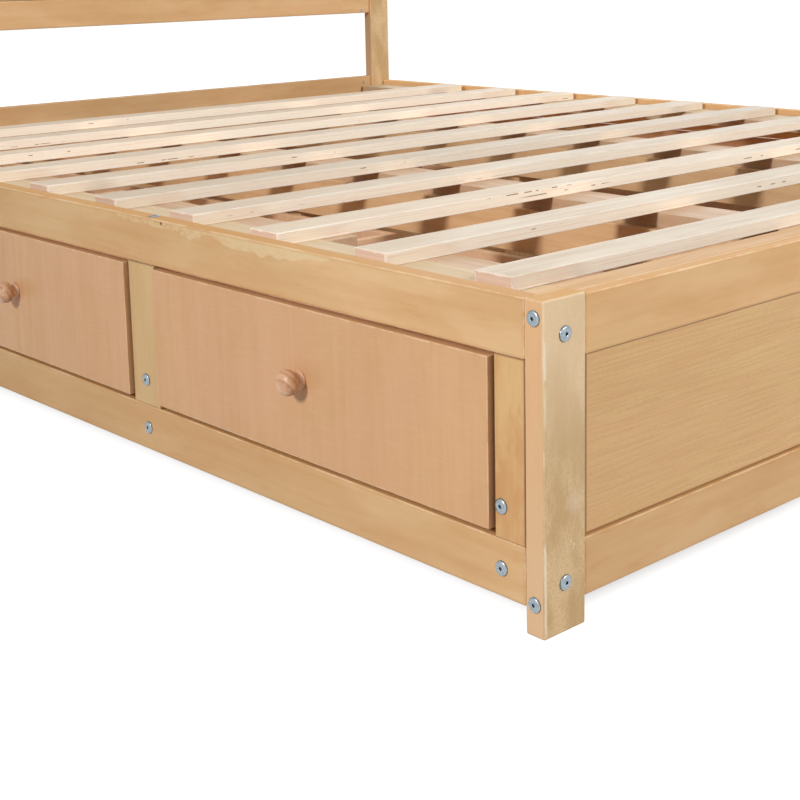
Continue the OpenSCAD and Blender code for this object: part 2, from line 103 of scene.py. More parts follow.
class BedTimberSettings(bpy.types.PropertyGroup):
    rail_light: colour_property("Rail light", "Stained rails where the grain is pale", (225, 185, 139))
    rail_dark: colour_property("Rail dark", "Late wood and blotches in the rails", (203, 154, 105))
    rail_tint: colour_property("Rail tint", "Greenish gold that drifts over the rails", (209, 172, 124))
    post_light: colour_property("Post light", "Peach coloured narrow faces of the posts", (226, 181, 136))
    post_dark: colour_property("Post dark", "Grain of the posts", (204, 157, 109))
    stile_light: colour_property("Stile light", "Pale gold of the upright stiles", (221, 182, 130))
    stile_dark: colour_property("Stile dark", "Reddish streaks in the upright stiles", (191, 135, 82))
    stile_tint: colour_property("Stile tint", "Yellow cast of the upright stiles", (209, 172, 117))
    panel_light: colour_property("Panel light", "Pale lines of the panels' veneer", (218, 178, 123))
    panel_dark: colour_property("Panel dark", "Dark lines of the panels' veneer", (198, 152, 101))
    panel_tint: colour_property("Panel tint", "Pink cast of the panels' veneer", (210, 164, 117))
    ledge_light: colour_property("Ledge light", "Bare pine of ledges", (221, 199, 167))
    ledge_dark: colour_property("Ledge dark", "Grain of ledges", (205, 178, 138))
    beam_light: colour_property("Beam light", "Whitish boards of beams and packers", (211, 180, 149))
    beam_dark: colour_property("Beam dark", "Grain of beams and packers", (187, 151, 120))
    inner_light: colour_property("Inner light", "Bare golden boards inside the bed", (238, 199, 153))
    inner_dark: colour_property("Inner dark", "Grain of the inner boards", (211, 164, 118))
    slat_light: colour_property("Slat light", "Face veneer of the slats", (219, 206, 186))
    slat_dark: colour_property("Slat dark", "Grain of the slats", (203, 181, 159))
    slat_tint: colour_property("Slat tint", "Yellow cast that drifts over the slats", (217, 197, 167))
    # The slats' edge colour is a painted highlight: a whitish sheen along their rounded arrises
    slat_edge_highlight: colour_property("Slat edge", "Whitish arrises of the slats", (250, 242, 230))
    front_light: colour_property("Front light", "Pinkish veneer of the drawer fronts", (212, 166, 121))
    front_dark: colour_property("Front dark", "Grain of the drawer fronts", (197, 149, 104))
    box_light: colour_property("Box light", "Veneered board of the drawer boxes", (240, 203, 168))
    box_dark: colour_property("Box dark", "Grain of the drawer boxes", (221, 179, 141))
    knob_light: colour_property("Knob light", "Turned wood of the knobs", (236, 188, 147))
    knob_dark: colour_property("Knob dark", "Growth rings of the knobs", (163, 106, 74))
    worn: colour_property("Worn edge", "Pale wood where the finish has rubbed thin", (240, 214, 178))


class BedShapeSettings(bpy.types.PropertyGroup):
    edge: length_property("Edge rounding", "Rounding of posts and rails", 2.4 * MM)
    fine_edge: length_property("Fine edge", "Rounding of slats, stiles and drawer parts", 1.2 * MM)
    front_edge: length_property("Drawer front edge", "Rounding of the drawer fronts", 1.0 * MM)
    bolt_radius: length_property("Bolt head radius", "Outer radius of a bolt head", 8 * MM)
    bolt_height: length_property("Bolt head height", "Height of a bolt head above the wood", 2.5 * MM)
    socket: length_property("Socket", "Width across the flats of a bolt's socket", 3.6 * MM)


class BedStageSettings(bpy.types.PropertyGroup):
    lens: level_property("Lens", "Focal length in millimetres", 66.63)
    place: bpy.props.FloatVectorProperty(
        name="Place", description="Where the camera stands", subtype="XYZ",
        default=(-1.7849, -1.9439, 0.6552),
    )
    yaw: angle_property("Yaw", "Turn from +Y towards +X", 43.104)
    pitch: angle_property("Pitch", "Tilt below the horizon", 10.086)
    roll: angle_property("Roll", "Turn about the line of sight", -0.938)
    shift: bpy.props.FloatVectorProperty(
        name="Shift", description="Lens shift across and up", size=2, default=(-0.05, -0.225)
    )
    sky: level_property("Sky", "Strength of the even white surround", 0.26)
    side: level_property("Side lamp", "Lamp beside the bed, in watts", 192)
    foot: level_property("Foot lamp", "Lamp beyond the foot end, in watts", 385)
    top: level_property("Top lamp", "Weak lamp above the head half, in watts", 8)
    back: level_property("Back lamp", "Weak lamp behind the far corner, in watts", 78)


# --- Node trees -------------------------------------------


class Tree:
    """Short calls for adding and joining shader nodes."""

    def __init__(self, tree):
        self.tree = tree

    def node(self, kind, **values):
        made = self.tree.nodes.new(kind)
        for name, value in values.items():
            setattr(made, name, value)
        return made

    def join(self, value, socket):
        """Links an output to an input, or sets the input when value is a plain number or tuple."""
        if isinstance(value, bpy.types.NodeSocket):
            self.tree.links.new(value, socket)
        else:
            socket.default_value = value

    def join_all(self, values, sockets):
        for value, socket in zip(values, sockets):
            self.join(value, socket)

    def math(self, operation, *values, clamp=False):
        made = self.node("ShaderNodeMath", operation=operation, use_clamp=clamp)
        self.join_all(values, made.inputs)
        return made.outputs[0]

    def fold(self, operation, first, *others):
        """Takes any number of values together by one operation."""
        for other in others:
            first = self.math(operation, first, other)
        return first

    def plus(self, *values):
        return self.fold("ADD", *values)

    def minus(self, first, second):
        return self.math("SUBTRACT", first, second)

    def times(self, *values):
        return self.fold("MULTIPLY", *values)

    def ratio(self, first, second):
        return self.math("DIVIDE", first, second)

    def highest(self, *values):
        return self.fold("MAXIMUM", *values)

    def lowest(self, *values):
        return self.fold("MINIMUM", *values)

    def size(self, value):
        return self.math("ABSOLUTE", value)

    def vector(self, operation, first, second=(0, 0, 0)):
        made = self.node("ShaderNodeVectorMath", operation=operation)
        self.join(first, made.inputs[0])
        self.join(second, made.inputs["Scale" if operation == "SCALE" else 1])
        return made.outputs["Value" if operation == "LENGTH" else "Vector"]

    def parts(self, vector):
        made = self.node("ShaderNodeSeparateXYZ")
        self.join(vector, made.inputs[0])
        return made.outputs

    def together(self, *parts):
        made = self.node("ShaderNodeCombineXYZ")
        self.join_all(parts, made.inputs)
        return made.outputs[0]

    def noise(self, vector, scale, detail=2.0, roughness=0.5, distortion=0.0):
        made = self.node("ShaderNodeTexNoise")
        values = {"Vector": vector, "Scale": scale, "Detail": detail, "Roughness": roughness}
        for name, value in {**values, "Distortion": distortion}.items():
            self.join(value, made.inputs[name])
        return made.outputs[0]

    def drawn(self, vector, squeeze, *shape):
        """Noise squeezed by its own factor along each axis; shape is detail and so on, as for noise."""
        return self.noise(self.vector("MULTIPLY", vector, squeeze), 1.0, *shape)

    def ramp(self, value, low, high, start=0.0, end=1.0):
        """Maps low..high smoothly to start..end."""
        made = self.node("ShaderNodeMapRange", interpolation_type="SMOOTHSTEP")
        self.join_all((value, low, high, start, end), made.inputs)
        return made.outputs[0]

    def stretch(self, value, low, high, soft):
        """1 between two values, with soft ends outside them."""
        return self.times(self.ramp(value, low - soft, low), self.ramp(value, high, high + soft, 1.0, 0.0))

    def profile(self, value, stops):
        """Joins stops of (place, level), both 0..1, by straight lines."""
        made = self.node("ShaderNodeValToRGB")
        self.join(value, made.inputs[0])
        elements = made.color_ramp.elements
        while len(elements) < len(stops):
            elements.new(0.5)
        for element, (place, level) in zip(elements, stops):
            element.position = place
            element.color = (level, level, level, 1)
        return made.outputs["Color"]

    def mix(self, share, first, second, blend="MIX"):
        made = self.node("ShaderNodeMix", data_type="RGBA", blend_type=blend)
        self.join(share, made.inputs["Factor"])
        for value, name in ((first, "A_Color"), (second, "B_Color")):
            socket = next(s for s in made.inputs if s.identifier == name)
            self.join(value if isinstance(value, bpy.types.NodeSocket) else (*value[:3], 1), socket)
        return next(s for s in made.outputs if s.identifier == "Result_Color")

    def wash(self, colour, shade, *masks):
        """Lays a shade over a colour, as strongly as the masks multiplied together say."""
        return self.mix(self.times(*masks), colour, shade)

    def relief(self, shader, height, strength, distance):
        """Gives a shader's surface small bumps."""
        bumps = self.node("ShaderNodeBump")
        bumps.inputs["Strength"].default_value = strength
        bumps.inputs["Distance"].default_value = distance
        self.join(height, bumps.inputs["Height"])
        self.join(bumps.outputs[0], shader.inputs["Normal"])

    def watched(self):
        """1 for what the camera sees, also in mirrors and through glass, and 0 for light on its way."""
        path = self.node("ShaderNodeLightPath").outputs
        return self.highest(path["Is Camera Ray"], path["Is Glossy Ray"], path["Is Transmission Ray"])

    def group(self, name, **values):
        made = self.node("ShaderNodeGroup", node_tree=bpy.data.node_groups[name])
        for key, value in values.items():
            self.join(value, made.inputs[key.replace("_", " ")])
        return made.outputs


def shader_group(name, inputs, outputs):
    """An empty node group: its tree, input sockets and output sockets.

    The sockets are given by their labels, each with its kind or, for a number, with its default.
    """
    made = bpy.data.node_groups.new(name, "ShaderNodeTree")
    for direction, sockets in (("INPUT", inputs), ("OUTPUT", outputs)):
        for label, value in sockets.items():
            kind = value if isinstance(value, str) else "Float"
            socket = made.interface.new_socket(label, in_out=direction, socket_type=f"NodeSocket{kind}")
            if value != kind:
                socket.default_value = value
    tree = Tree(made)
    return tree, tree.node("NodeGroupInput").outputs, tree.node("NodeGroupOutput").inputs


# What a board's mesh tells its finish: place on the board, half of its size, which faces are which, pattern
BOARD_VECTORS = ("board_place", "board_half", "board_side")
BOARD_SEED = "board_seed"
# How far a board's pattern number moves its figure through the noise
SEED_STEP = (7.31, 3.17, 5.23)


def build_board_space():
    """Places on a board, lengthwise first, the distance to its nearest edge, and which faces are which."""
    numbers = dict.fromkeys(("Edge", "End", "Top", "Seed", "Tone"), "Float")
    tree, _, out = shader_group("Board Space", {}, {"Place": "Vector", "Shifted": "Vector", **numbers})
    given = [tree.node("ShaderNodeAttribute", attribute_name=name) for name in (*BOARD_VECTORS, BOARD_SEED)]
    place, half, side = (node.outputs["Vector"] for node in given[:3])
    seed = given[3].outputs["Fac"]
    shifted = tree.vector("ADD", place, tree.vector("SCALE", SEED_STEP, seed))
    gaps = list(tree.parts(tree.vector("SUBTRACT", half, tree.vector("ABSOLUTE", place))))
    edge = tree.minus(tree.plus(*gaps), tree.plus(tree.lowest(*gaps), tree.highest(*gaps)))
    end, top, level = tree.parts(side)
    tree.join_all((place, shifted, edge, end, top, seed, level), out)


def build_wood_figure():
    """Growth rings, streaks, fibres and cloudy stain of a board whose grain runs along the first axis."""
    inputs = {"Vector": "Vector", "Ring Spacing": 0.012, "Pith": 0.05, "Wander": 0.02, "Streak Size": 0.012}
    names = ("Rings", "Streaks", "Fibres", "Clouds", "Mottle")
    tree, given, out = shader_group("Wood Figure", inputs, dict.fromkeys(names, "Float"))
    place = given["Vector"]
    wander = tree.minus(tree.drawn(place, (0.9, 6.0, 6.0), 2.0), 0.5)
    part = tree.parts(place)
    across = tree.plus(part[1], tree.times(wander, given["Wander"]))
    radius = tree.vector("LENGTH", tree.together(0.0, across, tree.plus(part[2], given["Pith"])))
    turn = tree.math("FRACT", tree.ratio(radius, given["Ring Spacing"]))
    rings = tree.times(tree.math("POWER", turn, 2.2), tree.ramp(turn, 0.9, 1.0, 1.0, 0.0))
    long = tree.vector("MULTIPLY", place, (0.055, 1.0, 1.0))
    streaks = tree.noise(long, tree.ratio(1.0, given["Streak Size"]), 3.0, 0.6, 0.4)
    fibres = tree.drawn(place, (14.0, 900.0, 900.0), 2.0, 0.6)
    clouds = tree.drawn(place, (3.0, 9.0, 9.0), 3.0, 0.55)
    mottle = tree.drawn(place, (40.0, 130.0, 130.0), 4.0, 0.65)
    values = (rings, tree.ramp(streaks, 0.32, 0.70), fibres, tree.ramp(clouds, 0.3, 0.7))
    tree.join_all((*values, tree.ramp(mottle, 0.3, 0.7)), out)


def build_edge_wear():
    """Finish rubbed thin along the edges of a board; on the slats the same mask lays a painted highlight."""
    inputs = {"Edge": 0.01, "Vector": "Vector", "Width": 0.002}
    tree, given, out = shader_group("Edge Wear", inputs, {"Wear": "Float"})
    patchy = tree.drawn(given["Vector"], (18.0, 60.0, 60.0), 4.0, 0.65)
    limit = tree.times(given["Width"], tree.plus(1.0, tree.ramp(patchy, 0.35, 0.7, -0.6, 1.4)))
    share = tree.ratio(given["Edge"], tree.highest(limit, 0.1 * MM))
    tree.join(tree.ramp(share, 0.35, 1.0, 1.0, 0.0), out["Wear"])


def build_flecks():
    """Small dark pores, pin knots and voids, drawn out along the grain."""
    inputs = {"Vector": "Vector", "Spacing": 0.08, "Size": 0.002, "Share": 0.5}
    tree, given, out = shader_group("Flecks", inputs, {"Mask": "Float"})
    cells = tree.node("ShaderNodeTexVoronoi")
    tree.join(tree.vector("MULTIPLY", given["Vector"], (0.4, 1.0, 1.0)), cells.inputs["Vector"])
    tree.join(tree.ratio(1.0, given["Spacing"]), cells.inputs["Scale"])
    chance = tree.parts(cells.outputs["Color"])[0]
    distance = tree.times(cells.outputs["Distance"], given["Spacing"])
    ragged = tree.noise(tree.vector("SCALE", given["Vector"], 420.0), 1.0, 2.0)
    size = tree.times(given["Size"], tree.times(ragged, 2.0))
    inside = tree.ramp(tree.ratio(distance, size), 0.6, 1.2, 1.0, 0.0)
    tree.join(tree.times(inside, tree.math("LESS_THAN", chance, given["Share"])), out["Mask"])


def build_ply_lines():
    """Layers and glue lines of a laminated board, and the short voids in them, seen on its narrow faces."""
    inputs = {"Vector": "Vector", "Place": "Vector", "Veneer": 3.2 * MM}
    names = ("Line", "Void", "Layer")
    tree, given, out = shader_group("Ply Lines", inputs, dict.fromkeys(names, "Float"))
    sway = tree.drawn(given["Vector"], (4.0, 0.0, 0.0), 3.0)
    depth = tree.plus(tree.parts(given["Place"])[2], tree.times(sway, 1.2 * MM))
    count = tree.ratio(depth, given["Veneer"])
    turn = tree.minus(0.5, tree.size(tree.minus(tree.math("FRACT", count), 0.5)))
    away = tree.times(turn, given["Veneer"])
    seam = tree.math("FLOOR", tree.plus(count, 0.5))
    along = tree.vector("ADD", given["Vector"], tree.together(tree.times(seam, 3.7), 0.0, 0.0))
    broken = tree.ramp(tree.drawn(along, (7.0, 1.0, 1.0), 4.0, 0.7), 0.48, 0.62)
    row = tree.ramp(tree.drawn(along, (2.2, 1.0, 1.0), 1.0), 0.66, 0.7)
    dash = tree.ramp(tree.drawn(along, (60.0, 1.0, 1.0), 1.0), 0.56, 0.62)
    line = tree.times(tree.ramp(away, 0.2 * MM, 0.5 * MM, 1.0, 0.0), broken)
    void = tree.times(tree.ramp(away, 0.5 * MM, 0.9 * MM, 1.0, 0.0), row, dash)
    layer = tree.math("FRACT", tree.times(tree.math("FLOOR", count), 0.5))
    tree.join_all((line, void, layer), out)


# --- Finishes ---------------------------------------------


def new_material(name, roughness, **constants):
    """A material with a Principled shader whose constants are set on its own sockets."""
    made = bpy.data.materials.new(name)
    made.use_nodes = True
    shader = made.node_tree.nodes["Principled BSDF"]
    shader.inputs["Roughness"].default_value = roughness
    for label, value in constants.items():
        shader.inputs[label.replace("_", " ")].default_value = value
    return made, Tree(made.node_tree), shader


def timber(
    name, light, dark, tint, worn, *, rings=0.3, streaks=0.3, fibres=0.25, clouds=0.25, mottle=0.15,
    cast=0.6, spacing=0.012, pith=0.05, wander=0.03, streak_size=0.012, wear=0.5, wear_width=0.002,
    roughness=0.48, coat=0.06, shine=0.3, flecks=0.0, fleck_size=0.0016, fleck_spacing=0.09, extra=None,
):
    """A planed, stained and lacquered board; extra adds what is special to one kind."""
    made, tree, shader = new_material(
        name, roughness, Coat_Weight=coat, Coat_Roughness=0.4, Specular_IOR_Level=shine
    )
    space = tree.group("Board Space")
    place = space["Shifted"]
    figure = tree.group(
        "Wood Figure", Vector=place, Ring_Spacing=spacing, Pith=pith, Wander=wander, Streak_Size=streak_size
    )
    share = tree.times(space["End"], 0.25)
    for part, weight in (("Rings", rings), ("Streaks", streaks), ("Fibres", fibres), ("Mottle", mottle)):
        share = tree.plus(share, tree.times(figure[part], weight))
    colour = tree.wash(light, tint, figure["Clouds"], cast)
    swell = tree.drawn(place, (5.0, 16.0, 16.0), 2.0)
    share = tree.math("ADD", share, tree.ramp(swell, 0.3, 0.7, -0.5 * clouds, 0.5 * clouds), clamp=True)
    colour = tree.mix(share, colour, dark)
    if extra:
        colour = extra(tree, space, colour)
    # Pale edges: rubbed finish on most woods, and a painted highlight along the slats' arrises
    rub_and_highlight = tree.group("Edge Wear", Edge=space["Edge"], Vector=place, Width=wear_width)["Wear"]
    colour = tree.wash(colour, worn, rub_and_highlight, wear)
    if flecks:
        spots = tree.group("Flecks", Vector=place, Spacing=fleck_spacing, Size=fleck_size, Share=flecks)
        colour = tree.wash(colour, tone(124, 82, 52), spots["Mask"], 0.7)
    # The board's level: its wood's own tone and, for some pieces, painted light
    level = space["Tone"]
    colour = tree.mix(1.0, colour, tree.together(level, level, level), "MULTIPLY")
    tree.join(colour, shader.inputs["Base Color"])
    tree.relief(shader, tree.plus(figure["Fibres"], tree.times(figure["Rings"], 0.5)), 0.12, 0.6 * MM)
    gloss = tree.ramp(figure["Streaks"], 0.0, 1.0, roughness - 0.05, roughness + 0.07)
    tree.join(gloss, shader.inputs["Roughness"])
    return made


def narrow_faces(tree, space):
    """1 on the long narrow faces of a board."""
    return tree.minus(1.0, tree.highest(space["Top"], space["End"]))


def round_mark(tree, place, along, up, radius, softness=0.35):
    """A round mark on a board's wide face, given its place along and up the board."""
    part = tree.parts(place)
    offset = tree.together(tree.minus(part[0], along), tree.minus(part[1], up), 0.0)
    ragged = tree.minus(tree.noise(place, 900.0, 2.0), 0.5)
    distance = tree.plus(tree.vector("LENGTH", offset), tree.times(ragged, radius * 0.8))
    return tree.ramp(distance, radius * (1 - softness), radius * (1 + softness), 1.0, 0.0)


def rail_figure(tree, space, colour):
    """A thin darker line close below each long edge of a stained rail, and drifting blotches."""
    blotch = tree.ramp(tree.drawn(space["Shifted"], (14.0, 70.0, 70.0), 4.0, 0.6), 0.56, 0.72)
    pale = tree.ramp(tree.drawn(space["Shifted"], (5.0, 22.0, 22.0), 3.0), 0.5, 0.68)
    colour = tree.wash(colour, tone(232, 202, 156), pale, 0.28)
    colour = tree.wash(colour, tone(206, 150, 92), blotch, 0.3)
    colour = tree.wash(colour, tone(202, 150, 88), narrow_faces(tree, space), 0.6)
    near = tree.size(tree.minus(space["Edge"], 2.6 * MM))
    return tree.mix(tree.ramp(near, 0.3 * MM, 1.1 * MM, 0.22, 0.0), colour, tone(196, 140, 84))


# The nail hole in a side rail, in millimetres: place along and up from the rail's middle, and radius
NAIL_HOLE = (-384.2, 26.8, 2.2)
# The pale patch on a side rail, in millimetres: places from the bed's middle towards the foot, and how far
# the patch reaches there below the rail's top
PATCH = (
    (262, 0), (276, 5), (300, 9.5), (345, 8), (375, 10), (402, 9.5), (430, 12), (447, 16.5), (465, 12),
    (480, 4.5), (500, 7), (515, 13), (530, 16), (580, 15), (592, 18.5), (609, 13.5), (621, 17), (635, 13),
    (650, 16), (668, 9), (702, 8), (728, 0),
)
PATCH_DEPTH = 20
SIDE_RAIL_HALF = 30.5 * MM


def lacquer_patch(tree, space, colour):
    """A stretch below the rail's upper edge where the stain didn't take, with a nail hole beside it."""
    colour = rail_figure(tree, space, colour)
    place = space["Place"]
    part = tree.parts(place)
    first, last = PATCH[0][0], PATCH[-1][0]
    along = tree.ratio(tree.minus(tree.times(part[0], -1 / MM), first), last - first)
    stops = [((spot - first) / (last - first), reach / PATCH_DEPTH) for spot, reach in PATCH]
    reach = tree.times(tree.profile(along, stops), PATCH_DEPTH * MM)
    ragged = tree.minus(tree.drawn(place, (75.0, 90.0, 8.0), 3.0, 0.6), 0.5)
    reach = tree.plus(reach, tree.times(ragged, 8 * MM))
    depth = tree.minus(SIDE_RAIL_HALF, part[1])
    below = tree.ramp(tree.minus(reach, depth), -0.9 * MM, 1.2 * MM)
    rim = tree.ramp(depth, 1.6 * MM, 3.6 * MM)
    patchy = tree.ramp(tree.drawn(place, (90.0, 160.0, 8.0), 3.0), 0.35, 0.6)
    strong = tree.ramp(patchy, 0.0, 1.0, 0.5, 0.66)
    thin = tree.mix(tree.ramp(along, 0.3, 0.55), tree.times(patchy, 0.55), strong)
    inside = tree.stretch(along, 0.02, 0.98, 0.02)
    colour = tree.wash(colour, tone(228, 204, 160), below, rim, thin, inside)
    hole = round_mark(tree, place, *(value * MM for value in NAIL_HOLE))
    return tree.wash(colour, tone(104, 62, 40), hole, 0.85)


def post_faces(tree, space, colour):
    """The wide faces of a post are greyer and mottled, the narrow ones smooth and peach, the ends tan."""
    cloud = tree.drawn(space["Shifted"], (11.0, 26.0, 26.0), 4.0, 0.6)
    speckle = tree.drawn(space["Shifted"], (330.0, 420.0, 420.0), 2.0)
    grey = tree.mix(tree.ramp(cloud, 0.36, 0.64), tone(224, 193, 150), tone(198, 165, 119))
    grey = tree.mix(tree.ramp(speckle, 0.4, 0.7, 0.0, 0.42), grey, tone(190, 158, 114))
    low = tree.ramp(tree.parts(space["Place"])[0], -170 * MM, 170 * MM, 0.55, 0.0)
    colour = tree.mix(low, colour, tone(226, 194, 158))
    colour = tree.wash(colour, grey, space["Top"], 0.94)
    return tree.wash(colour, tone(210, 162, 96), space["End"], 0.92)


# The broken pale line on the chipped post: its place across the post, and where it runs, from, to and how
# softly it ends, with its strength, in millimetres from the post's middle
CHIP_LINE = -27.7
CHIP_RUNS = ((94.5, 127.5, 3, 1.0), (55, 73.5, 16, 0.55), (-158, -78, 14, 1.0))
# Its whitish marks: place along and across, radius, softness and strength
CHIP_MARKS = (
    (-38.5, 14.0, 9.5, 0.8, 0.3), (-77.5, 8.5, 1.6, 0.4, 0.4), (-81.5, 12.5, 2.0, 0.4, 0.4),
    (-85.0, 11.5, 1.2, 0.4, 0.4),
)


def chipped_post(tree, space, colour):
    """A post whose outer corner shows a broken pale line, with whitish marks low on its wide face."""
    colour = post_faces(tree, space, colour)
    place = space["Place"]
    part = tree.parts(place)
    pale = tree.ramp(part[0], -50 * MM, 150 * MM, 0.0, 0.6)
    colour = tree.wash(colour, tone(240, 214, 178), pale, space["Top"])
    waver = tree.times(tree.minus(tree.noise(part[0], 60.0, 4.0, 0.6), 0.5), 3 * MM)
    away = tree.size(tree.minus(tree.plus(part[1], waver), CHIP_LINE * MM))
    stripe = tree.ramp(away, 0.8 * MM, 1.8 * MM, 1.0, 0.0)
    runs = []
    for low, high, soft, strength in CHIP_RUNS:
        runs.append(tree.times(tree.stretch(part[0], low * MM, high * MM, soft * MM), strength))
    colour = tree.wash(colour, tone(240, 224, 194), stripe, tree.highest(*runs), space["Top"], 0.8)
    for along, up, radius, soft, strength in CHIP_MARKS:
        mark = round_mark(tree, place, along * MM, up * MM, radius * MM, soft)
        colour = tree.wash(colour, tone(236, 218, 196), mark, space["Top"], strength)
    return colour


def stile_streaks(tree, space, colour):
    """Reddish clouds and fine upright streaks, strong on some stiles and nearly absent on others, with
    painted shade along every edge.
    """
    streak = tree.ramp(tree.drawn(space["Shifted"], (12.0, 190.0, 190.0), 3.0, 0.6, 0.3), 0.5, 0.75)
    cloud = tree.drawn(space["Shifted"], (13.0, 34.0, 34.0), 4.0, 0.6)
    mark = tree.highest(tree.times(streak, 0.55), tree.ramp(cloud, 0.42, 0.64, 0.0, 0.7))
    strength = tree.ramp(space["Seed"], 0.3, 0.9, 0.05, 1.0)
    red = tree.wash(colour, tone(196, 143, 90), mark, strength)
    colour = tree.mix(tree.ramp(space["Seed"], 0.3, 0.8, 0.5, 0.0), red, tone(211, 182, 132))
    # Painted shade: a dark line along every edge of a stile, for the shade where it sits back under the
    # rails
    return tree.mix(tree.ramp(space["Edge"], 0.7 * MM, 1.8 * MM, 0.6, 0.0), colour, tone(120, 84, 54))


def ply_edges(tree, space, colour):
    """Veneer layers on a laminated board's narrow faces, with thin glue lines and short dark voids, and
    painted shade on those faces near the ends.
    """
    lines = tree.group("Ply Lines", Vector=space["Shifted"], Place=space["Place"])
    # Painted shade: the narrow faces darken near the slat's ends, where it lies over the ledges
    end_shade = tree.ramp(tree.size(tree.parts(space["Place"])[0]), 640 * MM, 680 * MM, 0.0, 0.6)
    layer = tree.wash(tone(255, 243, 224), tone(247, 231, 209), lines["Layer"], 0.5)
    layer = tree.mix(end_shade, layer, tone(214, 196, 176))
    colour = tree.wash(colour, layer, narrow_faces(tree, space), 0.9)
    end = tree.wash(tone(226, 198, 178), tone(208, 174, 152), lines["Layer"], 0.5)
    colour = tree.wash(colour, end, space["End"], 0.9)
    side = tree.minus(1.0, space["Top"])
    colour = tree.wash(colour, tone(206, 158, 122), side, lines["Line"], 0.4)
    return tree.wash(colour, tone(112, 70, 46), side, lines["Void"], 0.8)


def front_weave(tree, space, colour):
    """Faint cross flecks over the upright grain of a printed veneer, and pinkish clouds."""
    pink = tree.drawn(space["Shifted"], (9.0, 9.0, 9.0), 2.0)
    colour = tree.mix(tree.ramp(pink, 0.4, 0.65, 0.0, 0.35), colour, tone(214, 164, 128))
    flake = tree.ramp(tree.drawn(space["Shifted"], (330.0, 40.0, 40.0), 2.0), 0.45, 0.75)
    return tree.wash(colour, tone(224, 182, 140), flake, 0.16)


# Bands, lines and ticks of the panels' veneer: how fine along and up, slice and detail of the noise, where
# the marks start and are full, strength and colour
PANEL_MARKS = (
    (2.0, 42.0, 3.0, 2.0, 0.4, 0.62, 0.34, (212, 180, 122)),
    (9.0, 460.0, 0.0, 1.0, 0.42, 0.6, 0.36, (196, 146, 98)),
    (160.0, 900.0, 0.0, 1.0, 0.5, 0.7, 0.28, (188, 136, 92)),
)
# Painted shade along a panel's edges, where it runs in under the rails: full up to the first distance from
# the edge, gone at the second
PANEL_GROOVE_SHADE = (7.2 * MM, 9.2 * MM)


def panel_lines(tree, space, colour):
    """Fine level lines that waver, with short dashes between them, as on sliced beech, and painted shade
    along the edges.
    """
    part = tree.parts(space["Shifted"])
    sway = tree.minus(tree.drawn(space["Shifted"], (4.0, 9.0, 9.0), 3.0), 0.5)
    height = tree.plus(part[1], tree.times(sway, 14 * MM))
    for along, up, level, detail, low, high, strength, shade in PANEL_MARKS:
        place = tree.together(tree.times(part[0], along), tree.times(height, up), level)
        marks = tree.ramp(tree.noise(place, 1.0, detail), low, high)
        colour = tree.wash(colour, tone(*shade), marks, strength)
    # Painted shade where the panel meets the rails
    return tree.mix(tree.ramp(space["Edge"], *PANEL_GROOVE_SHADE, 0.75, 0.0), colour, tone(120, 82, 52))


def zinc_plate():
    made, tree, shader = new_material("Zinc Plate", 0.34, Metallic=1.0)
    mottle = tree.noise(tree.node("ShaderNodeTexCoord").outputs["Object"], 900.0, 4.0, 0.6)
    colour = tree.mix(tree.ramp(mottle, 0.35, 0.7), tone(162, 172, 178), tone(112, 123, 131))
    tree.join(colour, shader.inputs["Base Color"])
    tree.join(tree.ramp(mottle, 0.3, 0.7, 0.26, 0.44), shader.inputs["Roughness"])
    tree.relief(shader, mottle, 0.06, 0.3 * MM)
    return made


def socket_shade():
    """Darkened, mottled zinc that stands in as painted shade down in a socket or a slot and on the lower
    side wall of a bolt head.
    """
    made, tree, shader = new_material("Socket Shade", 0.6, Metallic=0.6)
    shade_mottle = tree.noise(tree.node("ShaderNodeTexCoord").outputs["Object"], 1400.0, 3.0)
    tree.join(tree.mix(shade_mottle, tone(66, 74, 80), tone(108, 118, 124)), shader.inputs["Base Color"])
    return made


STAINED = {
    "rings": 0.10, "streaks": 0.22, "fibres": 0.2, "clouds": 0.34, "mottle": 0.10, "spacing": 0.016,
    "pith": 0.07, "wander": 0.05, "wear_width": 0.0013, "flecks": 0.08, "coat": 0.03, "shine": 0.02,
}
SMOOTH = {
    "rings": 0.05, "streaks": 0.14, "fibres": 0.16, "clouds": 0.2, "mottle": 0.08, "spacing": 0.01,
    "pith": 0.03, "wear_width": 0.0013, "flecks": 0.12, "coat": 0.02, "shine": 0.02,
}
BARE = {"coat": 0.0, "roughness": 0.6, "wear": 0.25, "wear_width": 0.0012, "shine": 0.2}
